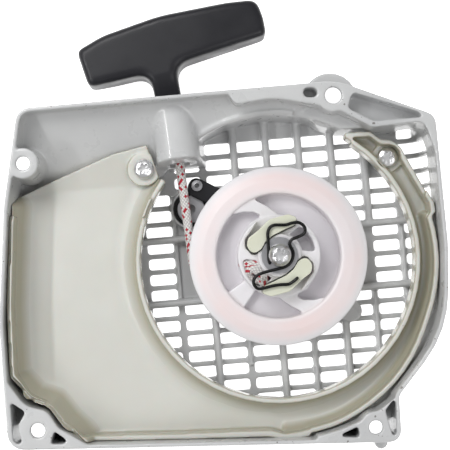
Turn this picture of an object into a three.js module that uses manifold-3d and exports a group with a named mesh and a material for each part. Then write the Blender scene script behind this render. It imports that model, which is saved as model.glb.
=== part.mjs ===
// Recoil starter of a chainsaw: fan housing, air baffle, rope rotor with two pawls, spring case and grip.
// Millimetres, +Z out of the open side. The origin is on the rotor's axis, in the plane of the outer face.
import * as THREE from "three";
import { mergeVertices } from "three/addons/utils/BufferGeometryUtils.js";
import Module from "manifold-3d";

const wasm = await Module();
wasm.setup();

// ---- driving dimensions ------------------------------------------------------------------------
const RAD = Math.PI / 180;
const GAP = 0.3; // clearance between pieces that touch
const RIM = 38; // height of the open edge
const FLOOR = 3; // thickness of the grille floor
const WALL = 1.6; // side wall at the rim
const TILT = 4.9 * RAD; // the grille and the top edge are turned by this in the casting

// Corners of the housing's rim: x, y and corner radius, anticlockwise from the bottom left.
const RIM_CORNERS = [
  [-105.8, -75.8, 6.5], [46.9, -72.7, 4.5], [45.9, -54.8, 3], [65.4, -29.5, 66], [65.5, 4, 60],
  [60.8, 55, 5], [21.8, 68.5, 25], [-103.4, 57.3, 6], [-108.4, 18, 40], [-109.8, -27, 60],
];
const BOLTS = {
  upper_left: { x: -101, y: 35.8, hole: 2.75, top: 6.1, foot: 8 },
  lower_left: { x: -94.4, y: -68.1, hole: 2.9, top: 6.3, foot: 6.8 },
  upper_right: { x: 20.7, y: 62.7, hole: 3.3, top: 6.6, foot: 6.6 },
  lower_right: { x: 36.8, y: -67, hole: 2.7, top: 6.3, foot: 6.8 },
};
const BOLT_WEB = 3.5; // metal left under each bolt's seat on the rim
const COUNTERBORE = 4.6; // radius of the bolt-head well in the outer face
const SCALLOP = { x: -22, y: -2, lean: 0.002 }; // each well also leans away from this point, by its distance x lean

// Grille: slots in rows and columns, turned by TILT.
const SLOT = { length: 10.9, width: 4.5, corner: 0.95, column: 13.45, row: 6.57, x: 5.9, y: 46.9 };
const RIB = { width: 3, top: 7.6 };
const PLATE = { left: -41, right: 39.6, bottom: -15.7, top: 10.5 }; // plain area behind the name plate
const RING = { x: -0.5, y: -1.9, inner: 55, lip: 2, top: 26.5 }; // round mouth of the air baffle
const PIT = 58.3; // radius of the grille well round the ring's centre
const SHELF = 26; // height of the shelf under the flange
const SLOPE = { top: 31, fall: 0.65, edgeX: -103.4, edgeY: 55.4 }; // ramp below the top wall

// Rope, its guide and the grip.
const ROPE = { radius: 1.6, tangent: 34.8, z: 14.7 };
// Coil in the rotor: two layers side by side, each of two turns; the rope is pressed to a smaller radius.
const COIL = { radius: 1.45, inner: 28.6, outer: 31.55, rear: 12.4, front: 15.45, start: 226, turns: 3.1056, steps: 24 };
const GUIDE = { x: -40, y: 36.2, z: 16.5, tilt: 7.7 * RAD, radius: 9, foot: 10.8, crest: 31, bore: 6.7 };
const GRIP = { x: -45, y: 83, z: 16.5, tilt: 15 * RAD, stemTilt: 10.3 * RAD, stemX: -40.9, stemY: 43.2 };

// Rotor and what sits in it.
const AXLE = { radius: 6, top: 27 };
const ROTOR = { bore: 6.3, tube: 8.6, flange: 36.3, core: 26.6, rear: 9.9, groove: 10.6, front: 17.15 };
const HUB = { outer: 16.8, top: 24.5, pocket: 19.5, deep: 14.2, web: 19 };
const PAWL = { x: -10.4, y: 3.6, bottom: 19.8, top: 28.2 };
const CLIP = { z: 29.3, radius: 0.55 };
const CASE = { outer: 28.5, wall: 1.5, bottom: 3.3, top: 9.5, ear: 8 };
const SOCKET = { x: -35.7, y: 19.6 }; // round boss with the rubber bush

// Air baffle.
const BAFFLE = { under: 16, top: 18, edge: 29.5, wall: 2 };
const SCREW_LEFT = { x: -54.4, y: 34.7, seat: 22.6 };
const SCREW_RIGHT = { x: 43.9, y: 39.7, seat: 20 };

// ---- solids from three.js geometry ---------------------------------------------------------------
function solid(geometry) {
  geometry.deleteAttribute("normal");
  geometry.deleteAttribute("uv");
  const merged = mergeVertices(geometry, 1e-4);
  const index = merged.index.array;
  const triangles = [];
  for (let i = 0; i < index.length; i += 3) {
    const [a, b, c] = [index[i], index[i + 1], index[i + 2]];
    if (a !== b && b !== c && c !== a) triangles.push(a, b, c);
  }
  const vertProperties = new Float32Array(merged.attributes.position.array);
  const triVerts = new Uint32Array(triangles);
  return new wasm.Manifold(new wasm.Mesh({ numProp: 3, vertProperties, triVerts }));
}

const join = (first, ...others) => others.reduce((all, next) => all.add(next), first);
const cut = (body, ...tools) => tools.reduce((left, tool) => left.subtract(tool), body);
const vec = ([x, y]) => new THREE.Vector2(x, y);

// Points of a closed outline whose corners [x, y, radius] are rounded, with `steps` chords each.
// A radius too large for its two sides is made smaller, so that neighbouring arcs never meet.
function roundedPoints(corners, steps = 4) {
  return corners.flatMap(([x, y, wanted = 0], i) => {
    const corner = new THREE.Vector2(x, y);
    if (!wanted) return [corner];
    const before = vec(corners.at(i - 1)).sub(corner);
    const after = vec(corners[(i + 1) % corners.length]).sub(corner);
    const room = 0.48 * Math.min(before.length(), after.length());
    const half = Math.acos(before.normalize().dot(after.normalize())) / 2;
    const reach = Math.min(wanted / Math.tan(half), room);
    const radius = reach * Math.tan(half);
    const centre = before.clone().add(after).setLength(radius / Math.sin(half)).add(corner);
    const start = before.multiplyScalar(reach).add(corner).sub(centre).angle();
    const end = after.multiplyScalar(reach).add(corner).sub(centre).angle();
    const sweep = Math.atan2(Math.sin(end - start), Math.cos(end - start));
    return Array.from({ length: steps + 1 }, (_, k) => {
      const angle = start + (sweep * k) / steps;
      return new THREE.Vector2(radius * Math.cos(angle), radius * Math.sin(angle)).add(centre);
    });
  });
}

// The same corners moved inwards by `distance`, for an anticlockwise outline.
function inset(corners, distance) {
  return corners.map(([x, y, radius], i) => {
    const corner = new THREE.Vector2(x, y);
    const before = vec(corners.at(i - 1)).sub(corner).normalize();
    const after = vec(corners[(i + 1) % corners.length]).sub(corner).normalize();
    const convex = after.cross(before) > 0;
    const half = Math.acos(before.dot(after)) / 2;
    const inward = before.add(after).normalize().multiplyScalar(convex ? 1 : -1);
    const moved = inward.multiplyScalar(distance / Math.sin(half)).add(corner);
    return [moved.x, moved.y, Math.max(0.6, radius + (convex ? -distance : distance))];
  });
}

const outline = (corners, steps) => new THREE.Shape(roundedPoints(corners, steps));

function prism(shapes, bottom, top, curveSegments = 12) {
  const geometry = new THREE.ExtrudeGeometry(shapes, { depth: top - bottom, bevelEnabled: false, curveSegments });
  geometry.translate(0, 0, bottom);
  return solid(geometry);
}

// Closed body through sections [{ points, z }] that have equal numbers of points, from the lowest up.
function loft(sections) {
  const count = sections[0].points.length;
  const place = (point, z) => (point.isVector3 ? point.toArray() : [point.x, point.y, z]);
  const positions = sections.flatMap(({ points, z }) => points.flatMap((point) => place(point, z)));
  const index = [];
  for (let row = 0; row + 1 < sections.length; row += 1) {
    for (let i = 0; i < count; i += 1) {
      const a = row * count + i;
      const b = row * count + ((i + 1) % count);
      index.push(a, b, b + count, a, b + count, a + count);
    }
  }
  const flat = sections[0].flat ?? sections[0].points;
  const last = (sections.length - 1) * count;
  THREE.ShapeUtils.triangulateShape(flat, []).forEach(([a, b, c]) => {
    index.push(a, c, b, last + a, last + b, last + c);
  });
  const geometry = new THREE.BufferGeometry();
  geometry.setAttribute("position", new THREE.Float32BufferAttribute(positions, 3));
  geometry.setIndex(index);
  return solid(geometry);
}

// Body of revolution about a vertical axis from profile points [radius, height].
function turned(profile, segments = 32, x = 0, y = 0) {
  const geometry = new THREE.LatheGeometry(profile.map(vec), segments);
  geometry.rotateX(Math.PI / 2);
  geometry.translate(x, y, 0);
  return solid(geometry);
}

// Upright round bar, or a cone when two radii are given. Profiles run so that faces point outwards.
const round = (x, y, radius, bottom, top, segments = 16, topRadius = radius) =>
  turned([[0, bottom], [radius, bottom], [topRadius, top], [0, top]], segments, x, y);

const ringBar = (x, y, outer, inner, bottom, top, segments = 20) =>
  turned([[inner, bottom], [outer, bottom], [outer, top], [inner, top], [inner, bottom]], segments, x, y);

// Part of a ring between two angles in degrees.
function sector(x, y, inner, outer, from, to, bottom, top, step = 7.5) {
  const steps = Math.ceil((to - from) / step);
  const arc = (radius, k) => {
    const angle = (from + ((to - from) * k) / steps) * RAD;
    return new THREE.Vector2(x + radius * Math.cos(angle), y + radius * Math.sin(angle));
  };
  const out = Array.from({ length: steps + 1 }, (_, k) => arc(outer, k));
  const back = Array.from({ length: steps + 1 }, (_, k) => arc(inner, steps - k));
  return prism(new THREE.Shape([...out, ...back]), bottom, top);
}

// Straight bar of a given section, laid from a point in a horizontal direction.
function bar(section, x, y, z, angle, length) {
  const geometry = new THREE.ExtrudeGeometry(section, { depth: length, bevelEnabled: false, curveSegments: 6 });
  geometry.rotateX(Math.PI / 2);
  geometry.rotateZ(angle + Math.PI / 2);
  geometry.translate(x, y, z);
  return solid(geometry);
}

// Round bar whose axis lies level, from a point towards a horizontal direction.
function levelRod(x, y, z, angle, from, to, radius, segments = 20, endRadius = radius) {
  const geometry = new THREE.CylinderGeometry(endRadius, radius, to - from, segments);
  geometry.translate(0, (from + to) / 2, 0);
  geometry.rotateZ(angle - Math.PI / 2);
  geometry.translate(x, y, z);
  return solid(geometry);
}

// Large block below a tilted plane: the plane passes through a point and falls towards `angle`.
function underPlane(x, y, z, angle, slope, depth = 120) {
  const geometry = new THREE.BoxGeometry(500, 500, depth);
  geometry.translate(0, 0, -depth / 2);
  geometry.rotateY(Math.atan(slope));
  geometry.rotateZ(angle);
  geometry.translate(x, y, z);
  return solid(geometry);
}

// Tube along a list of points.
function tube(points, radius, steps, sides = 8) {
  const path = new THREE.CatmullRomCurve3(points.map((p) => new THREE.Vector3(...p)), false, "centripetal");
  const section = new THREE.Shape(
    Array.from({ length: sides }, (_, k) => {
      const angle = (2 * Math.PI * k) / sides;
      return new THREE.Vector2(radius * Math.cos(angle), radius * Math.sin(angle));
    }),
  );
  return solid(new THREE.ExtrudeGeometry(section, { steps, extrudePath: path, bevelEnabled: false }));
}

const turnBy = ([x, y], angle) => [
  x * Math.cos(angle) - y * Math.sin(angle),
  x * Math.sin(angle) + y * Math.cos(angle),
];

// ---- fan housing ---------------------------------------------------------------------------------
const shellSections = (levels) =>
  levels.map(([distance, z]) => ({ points: roundedPoints(inset(RIM_CORNERS, distance)), z }));

const shellOutside = () => loft(shellSections([[7, 0], [4, 1.2], [1.7, 3.6], [0.4, 8], [0, 12], [0, RIM]]));
const shellInside = () =>
  loft(shellSections([[8.5, FLOOR], [5.2, 4.6], [3, 8], [2.2, 13], [WALL, RIM + 1]]));

function slotShape(x, y) {
  const { length, width, corner } = SLOT;
  const corners = [[-length, -width], [length, -width], [length, width], [-length, width]];
  const placed = corners.map(([sx, sy]) => [...turnBy([x + sx / 2, y + sy / 2], TILT), corner]);
  return outline(placed, 2);
}

// A slot is left out over the plain plate, the spring case and the bosses.
function slotIsOpen(x, y) {
  const [px, py] = turnBy([x, y], TILT);
  if (Math.hypot(px - RING.x, py - RING.y) > PIT + 3) return false;
  if (x > PLATE.left && x < PLATE.right && y > PLATE.bottom && y < PLATE.top) return false;
  if (Math.hypot(px, py) < CASE.outer + 1) return false;
  const solids = [
    [-35.7, 19.6, 9.5], [SCREW_LEFT.x, SCREW_LEFT.y, 9], [SCREW_RIGHT.x, SCREW_RIGHT.y, 5.5], [30.4, -22.5, 3.5],
  ];
  return solids.every(([sx, sy, reach]) => Math.hypot(px - sx, py - sy) > reach);
}

function grilleSlots() {
  const shapes = [];
  for (let column = -4; column <= 4; column += 1) {
    for (let row = 0; row <= 16; row += 1) {
      const x = SLOT.x + column * SLOT.column;
      const y = SLOT.y - row * SLOT.row;
      if (slotIsOpen(x, y)) shapes.push(slotShape(x, y));
    }
  }
  return prism(shapes, -1, FLOOR + 1).intersect(round(RING.x, RING.y, PIT + 1.7, -2, 6, 40));
}

// Section of a rib, standing on the floor, with its two upper corners bevelled.
function ribSection(width, height) {
  const bevel = width * 0.3;
  const half = width / 2;
  return new THREE.Shape([
    [-half, 0], [half, 0], [half, height - bevel], [half - bevel, height], [bevel - half, height],
    [-half, height - bevel],
  ].map(vec));
}

function rib(from, to) {
  const [x, y] = turnBy(from, TILT);
  const [tx, ty] = turnBy(to, TILT);
  const length = Math.hypot(tx - x, ty - y);
  const section = ribSection(RIB.width, RIB.top - FLOOR + 0.5);
  return bar(section, x, y, FLOOR - 0.5, Math.atan2(ty - y, tx - x), length);
}

function grilleRibs() {
  const upright = (n) => SLOT.x + (n + 0.5) * SLOT.column;
  const upper = [-2, -1, 0, 1, 2].map((n) => rib([upright(n), PLATE.top], [upright(n), 60]));
  const lower = [-3, -1, 1].map((n) => rib([upright(n), -60], [upright(n), PLATE.bottom]));
  const level = [PLATE.bottom, PLATE.top].map((y) => rib([-62, y], [62, y]));
  const reach = round(RING.x, RING.y, PIT + 1, -2, 20, 48);
  const centre = round(0, 0, CASE.outer + 0.8, FLOOR, 20, 40);
  return cut(join(...upper, ...lower, ...level).intersect(reach), centre);
}

// Flange, shelf and ramp that fill the top of the housing.
function topCasting() {
  const flange = outline([
    [-23, 75], [-20.2, 62.4, 1.5], [-17.6, 59, 2], [-3, 61.6, 25], [16, 58.6, 12], [24, 56.4, 6], [36, 50, 3],
    [56.5, 52.6, 4], [61.5, 38], [75, 38], [75, 75],
  ], 3);
  const shelf = outline([
    [9, 75], [9, 54.6, 1], [13.5, 54.6, 3], [18.2, 50.3, 4], [37.5, 51.3, 1], [37.5, 75],
  ], 3);
  const ramp = new THREE.Shape([[-112, 22], [-60, 30], [9.6, 45], [9.6, 75], [-112, 75]].map(vec));
  const downhill = TILT - Math.PI / 2;
  const plane = (lift) => underPlane(SLOPE.edgeX, SLOPE.edgeY, SLOPE.top + lift, downhill, SLOPE.fall);
  const well = round(RING.x, RING.y, PIT, -1, RIM + 2, 48);
  const slope = cut(prism(ramp, 0.5, RIM), well).intersect(plane(0));
  const lip = sector(RING.x, RING.y, PIT, PIT + 1.8, 84, 125, 1, RIM, 5).intersect(plane(1.3));
  return join(cut(prism(flange, 0.5, RIM), well), cut(prism(shelf, 0.5, SHELF), well), slope, lip);
}

function cornerWebs() {
  const left = outline([
    [-112, -47], [-106.5, -49.5, 1], [-99.5, -58.6, 8], [-91, -60.6, 5], [-86.5, -67.2, 6], [-74.5, -74], [-74.5, -80],
    [-112, -80],
  ], 3);
  const right = new THREE.Shape([[14, -80], [50, -80], [50, -50], [34, -50], [14, -62]].map(vec));
  const inside = round(RING.x, RING.y, 70, -1, RIM + 2, 72);
  return join(prism(left, 0.5, RIM), cut(prism(right, 0.5, RIM), inside));
}

function webPockets() {
  const pockets = [
    [[-105.2, -57.2, 0.5], [-99.3, -61, 1], [-102.3, -66.6, 3], [-100.2, -73.6, 1.5], [-103.8, -73, 2]],
    [[-88.1, -68.4, 0.6], [-81.3, -73.1, 1], [-89.6, -73.4, 0.6]],
    [[40.5, -60.4, 0.6], [43.6, -56.3, 1], [44.6, -57.3, 1], [44.8, -69.4, 1], [43.4, -70.6, 0.6]],
    [[21.6, -70.6, 0.6], [30, -66.6, 0.6], [30.4, -70.9, 0.8]],
  ].map((corners) => outline([...corners].reverse(), 2));
  const small = outline([[8.9, 65.7, 1.6], [8.9, 61.9, 1.6], [14.4, 61.9, 1.6], [14.4, 65.7, 1.6]], 2);
  const large = outline([[28.2, 63.9, 1.5], [26.4, 57.6, 1.5], [36.6, 52.6, 2], [56.2, 54.2, 1], [54, 56.2, 1]], 2);
  return join(prism(pockets, 6, RIM + 1), prism(small, 29, RIM + 1), prism(large, 29, RIM + 1));
}

// Raised guide for the rope: upright sides under a half-round crest, running out through the top wall.
function guideBody() {
  const { x, y, z, tilt, radius, crest, foot } = GUIDE;
  const section = new THREE.Shape();
  section.moveTo(-foot, 0.5);
  section.lineTo(foot, 0.5);
  section.lineTo(radius, crest - radius);
  section.absarc(0, crest - radius, radius, 0, Math.PI, false);
  const body = bar(section, x, y, 0, Math.PI / 2 + tilt, 32);
  const slant = underPlane(x, y + 0.7, z, Math.PI / 2 + tilt + Math.PI, 9);
  return body.intersect(slant);
}

function guideBores() {
  const { x, y, z, tilt, bore } = GUIDE;
  const angle = Math.PI / 2 + tilt;
  return join(levelRod(x, y, z, angle, 5.6, 40, bore), levelRod(x, y, z, angle, -10, 20, 4.1, 16));
}

// Well for a bolt's head: an upright bore, and a scallop that leans outwards and opens the rear corner.
function boltWell({ x, y }) {
  const [bottom, top, sides] = [-1, RIM - BOLT_WEB, 14];
  const reach = SCALLOP.lean * (top - bottom);
  const circle = (cx, cy) => Array.from({ length: sides }, (_, k) => {
    const angle = (2 * Math.PI * k) / sides;
    return new THREE.Vector2(cx + COUNTERBORE * Math.cos(angle), cy + COUNTERBORE * Math.sin(angle));
  });
  const outside = circle(x + (x - SCALLOP.x) * reach, y + (y - SCALLOP.y) * reach);
  const scallop = loft([{ points: outside, z: bottom }, { points: circle(x, y), z: top }]);
  return join(round(x, y, COUNTERBORE, bottom, top, sides), scallop);
}

function fanHousing() {
  const outside = shellOutside();
  const bossList = Object.values(BOLTS);
  const bolts = bossList.map(({ x, y, foot, top }) => round(x, y, foot, 0.5, RIM, 18, top));
  const cast = [
    round(SOCKET.x, SOCKET.y, 8.4, 1, 7.2, 20), round(30.4, -22.5, 4.6, 1, 8.4), round(-33.2, 29.1, 2.9, 1, 7.7, 10),
    round(SCREW_LEFT.x, SCREW_LEFT.y, 4.6, 1, SCREW_LEFT.seat - 2.3),
    round(SCREW_RIGHT.x, SCREW_RIGHT.y, 4.6, 1, SCREW_RIGHT.seat - 2.3),
    round(0, 0, 9, 1, 7.7, 20),
  ];
  const basin = cut(outside, shellInside(), grilleSlots());
  const inner = join(grilleRibs(), topCasting(), cornerWebs(), guideBody(), ...bolts, ...cast).intersect(outside);
  const tallBoss = round(BOLTS.upper_right.x, BOLTS.upper_right.y, 11.2, 0, 23, 24);
  const stub = round(40.7, -74.6, 2.7, 12, 23, 16);
  const wells = bossList.map(boltWell);
  const holes = bossList.map(({ x, y, hole }) => round(x, y, hole, RIM - BOLT_WEB - 1, RIM + 1, 18));
  // The rightmost slots run on from the floor up the side wall; the first one ends at the wall's foot.
  const windows = [0, 1, 2, 3, 4].map((row) => {
    const [left, right, half] = [SLOT.x + 4 * SLOT.column - SLOT.length / 2, row ? 75 : 60.5, SLOT.width / 2];
    const y = SLOT.y - row * SLOT.row;
    const corners = [[left, y - half], [right, y - half], [right, y + half], [left, y + half]];
    return prism(new THREE.Shape(corners.map((p) => vec(turnBy(p, TILT)))), -1, row ? 20 : 12);
  });
  const plate = outline([[-38, -11.4, 2], [38, -11.4, 2], [38, 11.4, 2], [-38, 11.4, 2]]
    .map(([x, y, r]) => [...turnBy([x, y], TILT), r]), 3);
  const screwHoles = [SCREW_LEFT, SCREW_RIGHT].map(({ x, y }) => round(x, y, 1.9, 5, 40, 12));
  return cut(
    join(basin, inner, tallBoss, stub), ...wells, ...holes, ...windows, ...screwHoles, webPockets(), guideBores(),
    round(0, 0, AXLE.radius + GAP, 1.7, 20, 20), round(SOCKET.x, SOCKET.y, 7.3, FLOOR, 20, 20), prism(plate, -1, 1),
  );
}

function namePlate() {
  const corners = [[-37.7, -11.1, 1.7], [37.7, -11.1, 1.7], [37.7, 11.1, 1.7], [-37.7, 11.1, 1.7]];
  return prism(outline(corners.map(([x, y, r]) => [...turnBy([x, y], TILT), r]), 3), 0, 0.7);
}

// ---- air baffle ----------------------------------------------------------------------------------
const onRing = (radius, degrees) => [
  RING.x + radius * Math.cos(degrees * RAD),
  RING.y + radius * Math.sin(degrees * RAD),
];
const arcPoints = (from, to, radiusAt, count) =>
  Array.from({ length: count + 1 }, (_, k) => {
    const share = k / count;
    return [...onRing(radiusAt(share), from + (to - from) * share), 0];
  });

// Outer edge of the baffle, anticlockwise from the lower left strut, grown outwards by `grow`.
function baffleEdge(grow = 0) {
  const sweep = arcPoints(-88, 16, (share) => 68.4 - 5.2 * Math.min(1, share * 1.6) + grow, 20);
  return [
    [-107 - grow, -20, 0], [-105.6 - grow, -47.6 - grow * 0.4, 3], [-98.8 - grow * 0.5, -57 - grow, 7],
    [-90.6 + grow * 0.3, -59.4 - grow, 4], [-85 + grow * 0.2, -66.8 - grow, 4], [-77.2, -72 - grow, 2],
    [-40, -71.4 - grow, 0], ...sweep,
    [61.9 + grow, 17.3, 0], [61.4 + grow, 21, 0], [48.6 + grow, 43.6 + grow * 0.5, 4], [45, 46.4 + grow, 4],
    [40.6, 46.6 + grow, 2], [36.4, 49.8 + grow, 1], [25.2 - grow, 49.2 + grow, 1],
    ...arcPoints(58, 35, () => RING.inner - grow, 3), [-40, 20, 0], ...arcPoints(163, 147, () => RING.inner - grow, 2),
    [-48.2 + grow, 31, 0], [-52.6 + grow, 43.8, 2], [-54.4, 45.9 + grow, 2], [-67.3, 41.1 + grow, 0],
    [-91, 30.6 + grow, 4], [-105.6 - grow, 23.4 + grow, 3], [-106.4 - grow, 12, 0],
  ];
}

function airBaffle() {
  const { under, top, edge, wall } = BAFFLE;
  const mouth = round(RING.x, RING.y, RING.inner + RING.lip / 2, 0, 50, 48);
  const tray = cut(prism(outline(baffleEdge(), 3), under, edge), prism(outline(baffleEdge(-wall), 3), top, 50));
  // No edge stands up along the ramp, between the two ends of the ring.
  const ramp = new THREE.Shape([[-109, 15], [-64, 20], [-44, 24], [-40, 60], [-70, 60], [-109, 45]].map(vec));
  const lowTray = cut(tray, prism(ramp, top, 50), mouth);
  const lip = sector(RING.x, RING.y, RING.inner, RING.inner + RING.lip, 145, 418, under, RING.top, 7);
  const duct = cut(round(RING.x, RING.y, 80, RING.top, 50, 48), mouth);
  const channel = new THREE.Shape([[20, 60], [20, 20], [52, 8], [60, 30], [60, 60]].map(vec));
  const lowered = cut(lowTray, prism(channel, RING.top, 50).intersect(duct));
  // The upper left corner climbs from a fold line to the left screw.
  const flap = new THREE.Shape([[-104, 24.3], [-59.4, 28.4], [-48.4, 32], [-53.4, 44.6], [-67.3, 40.9], [-91, 30.4]].map(vec));
  const climb = underPlane(-104, 24.3, top, 5.3 * RAD - Math.PI / 2, 0.32).intersect(prism(flap, top, 40));
  const whole = prism(outline(baffleEdge(), 3), 0, 50);
  const pads = [
    round(SCREW_LEFT.x, SCREW_LEFT.y, 6.8, SCREW_LEFT.seat - 2, SCREW_LEFT.seat, 20).intersect(whole),
    round(SCREW_RIGHT.x, SCREW_RIGHT.y, 6.2, SCREW_RIGHT.seat - 2, SCREW_RIGHT.seat, 20).intersect(whole),
  ];
  const seats = [SCREW_LEFT, SCREW_RIGHT].map(({ x, y, seat }) => round(x, y, 4.9, seat, 50, 16));
  const holes = [SCREW_LEFT, SCREW_RIGHT].map(({ x, y }) => round(x, y, 2.3, 0, 50, 14));
  const posts = [SCREW_LEFT, SCREW_RIGHT].map(({ x, y, seat }) => round(x, y, 5, 0, seat - 2, 16));
  const onRamp = underPlane(SLOPE.edgeX, SLOPE.edgeY, SLOPE.top + 0.35, TILT - Math.PI / 2, SLOPE.fall);
  const rampArea = new THREE.Shape([[-112, 22], [-60, 28], [-48.3, 33], [-47.5, 75], [-112, 75]].map(vec));
  const ramped = prism(rampArea, 5, 40).intersect(onRamp);
  return cut(join(lowered, lip, climb, ...pads), ...seats, ...holes, ...posts, ramped);
}

function panScrew({ x, y, seat }) {
  const head = 3.6;
  const profile = [
    [0, seat - 12], [1.6, seat - 12], [1.6, seat + GAP], [head, seat + GAP], [head, seat + 1.6], [2.6, seat + 2.5],
    [0, seat + 2.7],
  ];
  return cut(turned(profile, 14, x, y), round(x, y, 1.5, seat + 1.2, seat + 4, 6));
}

// ---- rotor group ---------------------------------------------------------------------------------
const PAWL_OUTLINE = [
  [-13.2, 3.8, 2.6], [-10.6, 0.3, 2.6], [-7.3, 2.4, 1.5], [-5.6, 5.4, 2], [-2.9, 7.8, 3], [1.8, 10.2, 3], [6.2, 12.2, 1.2],
  [6.9, 15.2, 1], [3.4, 16.4, 1.5], [-4.2, 14.3, 4], [-9, 9.6, 3], [-12.4, 7, 1.5],
];

function pawl() {
  const body = prism(outline(PAWL_OUTLINE, 2), PAWL.bottom, PAWL.top);
  return join(body, round(PAWL.x, PAWL.y, 1.7, 15.2, PAWL.bottom + 1, 14));
}

// Space in the rotor for one pawl, from rest to fully out, and the gap in the hub wall for its tip.
function pawlSpace() {
  const swings = [0, 0.5, 1].map((share) => {
    const swung = PAWL_OUTLINE.map(([x, y, r]) => {
      const [dx, dy] = turnBy([x - PAWL.x, y - PAWL.y], share * 16 * RAD);
      return [PAWL.x + dx, PAWL.y + dy, r];
    });
    return prism(outline(inset(swung, -0.45).map(([x, y]) => [x, y, 1]), 1), HUB.pocket, 40);
  });
  return join(...swings, round(PAWL.x, PAWL.y, 2, 14.9, 25, 14));
}

// Pocket for the rope's knot and an open pocket, each a corner list with radii.
const HUB_POCKETS = [
  [[-14.8, -2.2, 1], [-13, -1.5, 1], [-7, -2.4], [-4.3, -7.1], [-2.6, -8.6, 1], [-6.3, -12, 1.5], [-8.2, -12.5, 1],
    [-11.6, -10, 1], [-13.3, -7]],
  [[3.3, 7.8, 0.8], [7.9, 2.3], [11.8, 1.8], [14.8, 1.7, 1], [13.2, 6.4], [10.5, 10.8, 1.2], [8, 11.6, 1.2]],
];
const WEB_OUTLINE = [
  [-18.3, 16.9], [-22, 21], [-10, 26], [-9.2, 22.4], [-4.1, 19.6], [0.6, 16.2], [-4, 10], [-12.5, 7], [-13.9, 9.1],
  [-11.6, 13.2], [-7.9, 15.3, 0.6], [-7.3, 16.5, 0.6], [-10.2, 17.8, 1], [-14.3, 17.8],
].reverse();

function ropeRotor() {
  const { bore, tube: tubeRadius, flange, core, rear, groove, front } = ROTOR;
  const profile = [
    [bore, 8.8], [tubeRadius, 8.8], [tubeRadius, rear], [flange, rear], [flange, groove], [core, groove + 0.1],
    [core, front - 0.1], [flange, front], [flange, front + 0.9], [34, 19], [30.5, 20.1], [26.4, 20.5], [25.4, 20],
    [25, 14], [HUB.outer, 13.6], [HUB.outer - 0.3, HUB.top], [tubeRadius, HUB.top],
    [tubeRadius, 26.9], [bore, 26.9], [bore, 8.8],
  ];
  const body = turned(profile, 32);
  const pockets = cut(join(...HUB_POCKETS.map((corners) => prism(outline(corners, 2), HUB.deep, 40))),
    round(0, 0, tubeRadius + 0.8, 0, 50, 20));
  const tunnel = sector(0, 0, 16.4, 25.8, COIL.start - 10, COIL.start + 10, 12.5, 18.2);
  const ropeHole = levelRod(0, 0, 15, COIL.start * RAD, 10, 30, 1.95, 10);
  const web = prism(outline(WEB_OUTLINE, 2), 13, HUB.web).intersect(round(0, 0, 25.1, 0, 50, 32));
  const space = pawlSpace();
  return cut(join(body, web, halfTurn(web), tunnel), pockets, ropeHole, space, halfTurn(space));
}

// The second of two alike pieces, half a turn round the axle.
const halfTurn = (body) => {
  const geometry = geometryOf(body);
  geometry.rotateZ(Math.PI);
  return solid(geometry);
};

function pawlClip() {
  const path = [
    [-3.9, -3.7], [-4.4, -1.4], [-4.5, 2.2], [-4.7, 6], [-4.8, 8.9], [-4, 10.9], [-2.4, 11.9], [0.2, 12], [2.6, 12.1],
    [4.9, 12.8], [7.3, 13], [9.3, 11.9], [10.1, 10.1], [9.5, 8.5], [7.3, 7.3], [4.9, 6.3], [3.9, 4.9], [4.1, 3.7],
    [5.2, 1.4], [5.1, -1], [4, -3.2], [2, -4.6], [-0.6, -5.4], [-4.6, -6.4], [-7.8, -7.4], [-9.8, -8.8], [-10.5, -10.6],
    [-9.8, -12.4], [-8.4, -13.3], [-6.2, -13], [-3, -12.2], [0.2, -11.7], [3.4, -11.5], [5.3, -10.4], [7.3, -8.7],
  ];
  return tube(path.map(([x, y]) => [x, y, CLIP.z]), CLIP.radius, 40, 6);
}

function axlePost() {
  const { radius, top } = AXLE;
  return turned([
    [0, 2], [radius, 2], [radius, top], [2.7, top], [2.7, 13], [0, 13],
  ], 20);
}

function axleScrew() {
  const profile = [
    [0, 14], [2.4, 14], [2.4, 28.5], [3.6, 28.5], [3.6, 30.3], [4.5, 30.3], [4.5, 32.4], [4, 33.4], [0, 33.7],
  ];
  return cut(turned(profile, 18), round(0, 0, 2.6, 31.6, 36, 6));
}

function springCase() {
  const { outer, wall, bottom, top } = CASE;
  const cup = turned([
    [9.4, bottom], [outer, bottom], [outer, top], [outer - wall, top], [outer - wall, bottom + 1], [9.4, bottom + 1],
    [9.4, bottom],
  ], 28);
  const ear = outline([[-22, 17.5], [-26.8, 20.6, 1], [-38, 26.2, 3.4], [-35.4, 33.8, 3.4], [-26, 29, 2], [-12, 24]], 3);
  const inside = round(0, 0, outer - wall + 0.1, bottom - 1, 20, 28);
  const tab = cut(prism(ear, CASE.ear, top), inside);
  return cut(join(cup, tab), round(-33.2, 29.1, 1.6, 0, 20, 14));
}

// Flat spiral of spring steel: wound from the case wall in to the rotor.
function rewindSpring() {
  const turns = 4;
  const steps = turns * 14;
  const thickness = 0.6;
  const edge = (side) => Array.from({ length: steps + 1 }, (_, k) => {
    const angle = (k / steps) * turns * 2 * Math.PI;
    const radius = 11 + (25.6 - 11) * (k / steps) + side;
    return new THREE.Vector2(radius * Math.cos(angle), radius * Math.sin(angle));
  });
  return prism(new THREE.Shape([...edge(thickness), ...edge(0).reverse()]), 4.6, 8.9);
}

const eyelet = () => turned([
  [1, 8], [1.3, 8], [1.3, 9.8], [2.3, 9.8], [2.3, 10.4], [1, 10.6], [1, 8],
], 14, -33.2, 29.1);

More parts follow.
